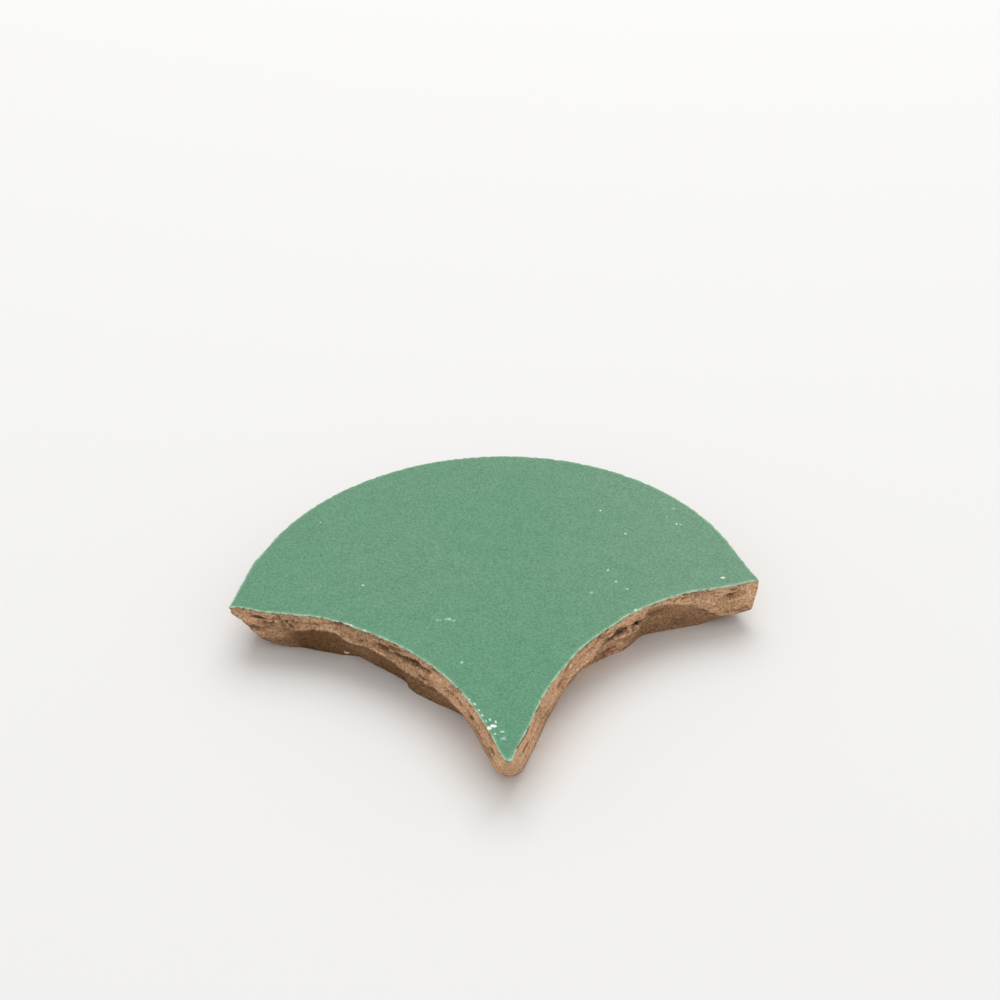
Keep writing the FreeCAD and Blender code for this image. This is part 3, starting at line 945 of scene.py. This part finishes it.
clayLook = {
    "pale": (0.722, 0.446, 0.268, 1),
    "buff": (0.560, 0.330, 0.187, 1),
    "brown": (0.200, 0.105, 0.052, 1),
    "dark": (0.045, 0.022, 0.010, 1),
    # colour of the painted shade on the undercut
    "underside": (0.160, 0.080, 0.031, 1),
    "fleck": (0.85, 0.80, 0.72, 1),
    "streakStretch": 0.16,
    "streakScale": 850.0,
    "streakRange": (0.54, 0.66, 0.0, 0.72),
    "patchScale": 170.0,
    "patchRange": (0.38, 0.62),
    "noseRange": (-42 * mm, -39 * mm),   # no streaks on the nose
    "tipRange": (-28 * mm, -12 * mm),
    "tipPaintedLight": 0.4,
    "leftToneAndShadeRange": (-10 * mm, -26 * mm, 0.0, 0.27),
    "darkBandStart": (-12 * mm, -18 * mm, 0.0, 0.2),
    "darkBandEnd": (-34 * mm, -28 * mm),
    "highlightRange": (0.40, 0.60, 0.4, 1.0),
    "poreScale": 900.0,
    "poreRange": (0.24, 0.10, 0.0, 0.45),
    "lipShadeRange": (0.9 * mm, 0.5 * mm),   # depths under the face
    "pitScale": 700.0,
    "pitRange": (0.52, 0.62),
    "hollowShadeRange": (0.45, 1.2, 0.0, 0.9),
    "grainScale": 2100,
    "grainContrast": (0.42, 0.67),       # at the tip and elsewhere
    "roughness": 0.92,
    "specular": 0.2,
    "bumpScale": 1500.0,
    "bumpDepth": 0.2 * mm,
    # x, y, z and half size of white flecks
    "flecks": [((-29.5, -0.3, 1.0), 1.0), ((13.0, -17.0, 8.6), 0.6)],
    "fleckCover": 0.9,
}


def makeClay(grainGroup, markGroup):
    look = clayLook
    paint = bpy.data.materials.new("firedClay")
    paint.use_nodes = True
    tree = paint.node_tree
    shader = tree.nodes["Principled BSDF"]
    place = addNode(tree, "ShaderNodeTexCoord").outputs["Object"]
    level = addNode(tree, "ShaderNodeMapping", {"Vector": place})
    level.inputs["Scale"].default_value = (look["streakStretch"], look["streakStretch"], 1.0)
    streak = noise(tree, level.outputs["Vector"], look["streakScale"], detail=4.0, roughness=0.65)
    patch = noise(tree, place, look["patchScale"], detail=4.0, roughness=0.6)
    parts = addNode(tree, "ShaderNodeSeparateXYZ", {"Vector": place}).outputs
    noseless = spread(tree, parts["Y"], *look["noseRange"])
    tipless = spread(tree, parts["Y"], *look["tipRange"])
    grit = spread(tree, tipless, 0.0, 1.0, *look["grainContrast"])
    streaks = mathNode(tree, "MULTIPLY", noseless, spread(tree, streak, *look["streakRange"]))
    colour = mixColour(tree, spread(tree, patch, *look["patchRange"]), look["buff"], look["pale"])
    # painted light: the clay turns paler toward the tip
    tipPaintedLight = spread(tree, tipless, 1.0, 0.0, 0.0, look["tipPaintedLight"])
    colour = mixColour(tree, tipPaintedLight, colour, look["pale"])
    colour = mixColour(tree, streaks, colour, look["brown"])
    # the clay is browner on the left, partly its own tone and partly painted shade, and most of all in the
    # recess
    leftToneAndShade = spread(tree, parts["X"], *look["leftToneAndShadeRange"])
    colour = mixColour(tree, leftToneAndShade, colour, look["brown"])
    # a darker brown band across the middle of the left recess
    darkBandIn = spread(tree, parts["X"], *look["darkBandStart"])
    darkBandOut = spread(tree, parts["X"], *look["darkBandEnd"])
    colour = mixColour(tree, mathNode(tree, "MULTIPLY", darkBandIn, darkBandOut), colour, look["brown"])
    # painted shade on the undercut
    colour = mixColour(tree, attribute(tree, "underShade"), colour, look["underside"])
    # painted highlight along the ridge, broken up by the patches
    wornAndHighlight = spread(tree, patch, *look["highlightRange"])
    ridge = mathNode(tree, "MULTIPLY", attribute(tree, "ridgeHighlight"), wornAndHighlight)
    colour = mixColour(tree, ridge, colour, look["pale"])
    cells = addNode(tree, "ShaderNodeTexVoronoi", {"Vector": place, "Scale": look["poreScale"]})
    pores = spread(tree, cells.outputs["Distance"], *look["poreRange"])
    colour = mixColour(tree, pores, colour, look["brown"])
    # painted shade under the glaze's lip, broken up into dark pits
    top = tileShape["thickness"]
    lipShade = spread(tree, parts["Z"], *[top - depth for depth in look["lipShadeRange"]])
    pits = spread(tree, noise(tree, place, look["pitScale"], detail=3.0, roughness=0.6), *look["pitRange"])
    colour = mixColour(tree, mathNode(tree, "MULTIPLY", lipShade, pits), colour, look["dark"])
    # painted shade where the marks and the roughening sank the cut
    hollowShade = spread(tree, attribute(tree, "clayHollow"), *look["hollowShadeRange"])
    colour = mixColour(tree, hollowShade, colour, look["dark"])
    colour = addGrain(tree, grainGroup, place, colour, look["grainScale"], grit)
    cover = look["fleckCover"]
    for centre, half in look["flecks"]:
        colour = addMark(tree, markGroup, place, colour, look["fleck"], centre, 0, (half, half, half), cover)
    tree.links.new(colour, shader.inputs["Base Color"])
    shader.inputs["Roughness"].default_value = look["roughness"]
    shader.inputs["Specular IOR Level"].default_value = look["specular"]
    rough = noise(tree, place, look["bumpScale"], detail=4.0, roughness=0.65)
    addBump(tree, shader, mathNode(tree, "MULTIPLY", rough, grit), 1.0, look["bumpDepth"])
    return paint


def finishTile(tile):
    grainGroup = makeGrainGroup()
    markGroup = makeMarkGroup()
    tile.data.materials.append(makeGlaze(grainGroup, markGroup))
    tile.data.materials.append(makeClay(grainGroup, markGroup))
    makeActive(tile)
    bpy.ops.object.shade_smooth()
    print("materials made")


tile = tileBlank()
markGlaze(tile)
chiselCrown(tile)
cutRecesses(tile)
chipCorners(tile)
bendOutline(tile)
tile.data.update()
smoothCut = [(vert.co.copy(), vert.normal.copy()) for vert in tile.data.vertices]
workByHand(tile)
roughenCut(tile)
markHollows(tile, smoothCut)
finishTile(tile)
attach(tile, "root")
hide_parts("tile")


# Studio: camera, floor and soft light
studio = {
    "lens": 69.43,
    "sensor": 36,
    "clipStart": 10 * mm,
    "target": (2.87 * mm, 33.67 * mm, tileShape["thickness"]),
    "distance": 399.47 * mm,
    "azimuth": -2.525,
    "elevation": 36.0,
    "roll": -1.64,
    "floorSize": 6.0,
    "floorRoughness": 0.8,
    "floorPaper": (0.872, 0.868, 0.862, 1),
    "sky": (1.0, 0.996, 0.99, 1),
    "skyStrength": 0.69,
    "lampPlace": (0.19, 0.99, 1.57),
    "lampSize": 1.75,
    "lampPower": 17.0,
}


def placeCamera():
    azimuth = studio["azimuth"] * deg
    elevation = studio["elevation"] * deg
    back = Vector((
        math.sin(azimuth) * math.cos(elevation),
        -math.cos(azimuth) * math.cos(elevation),
        math.sin(elevation),
    ))
    right = Vector((math.cos(azimuth), math.sin(azimuth), 0))
    level = Matrix((right, back.cross(right), back)).transposed()
    turn = level @ Matrix.Rotation(studio["roll"] * deg, 3, "Z")
    place = Vector(studio["target"]) + back * studio["distance"]
    bpy.ops.object.camera_add(location=place, rotation=turn.to_euler())
    camera = bpy.context.object
    camera.data.lens = studio["lens"]
    camera.data.sensor_width = studio["sensor"]
    camera.data.clip_start = studio["clipStart"]
    bpy.context.scene.camera = camera


def layFloor():
    deselectAll()
    bpy.ops.mesh.primitive_plane_add(size=studio["floorSize"])
    floor = bpy.context.object
    floor.name = "studioFloor"
    paint = bpy.data.materials.new("floorPaper")
    paint.use_nodes = True
    shader = paint.node_tree.nodes["Principled BSDF"]
    shader.inputs["Base Color"].default_value = studio["floorPaper"]
    shader.inputs["Roughness"].default_value = studio["floorRoughness"]
    floor.data.materials.append(paint)


def lightStudio():
    world = bpy.data.worlds.new("studioSky")
    world.use_nodes = True
    bpy.context.scene.world = world
    sky = world.node_tree.nodes["Background"]
    sky.inputs["Color"].default_value = studio["sky"]
    sky.inputs["Strength"].default_value = studio["skyStrength"]
    bpy.ops.object.light_add(type="AREA", location=studio["lampPlace"])
    lamp = bpy.context.object
    lamp.name = "softBox"
    lamp.data.shape = "DISK"
    lamp.data.size = studio["lampSize"]
    lamp.data.energy = studio["lampPower"]
    aim = -Vector(studio["lampPlace"])
    lamp.rotation_euler = aim.to_track_quat("-Z", "Y").to_euler()


placeCamera()
layFloor()
lightStudio()
bpy.context.scene.view_settings.view_transform = "Standard"
print("studio ready")
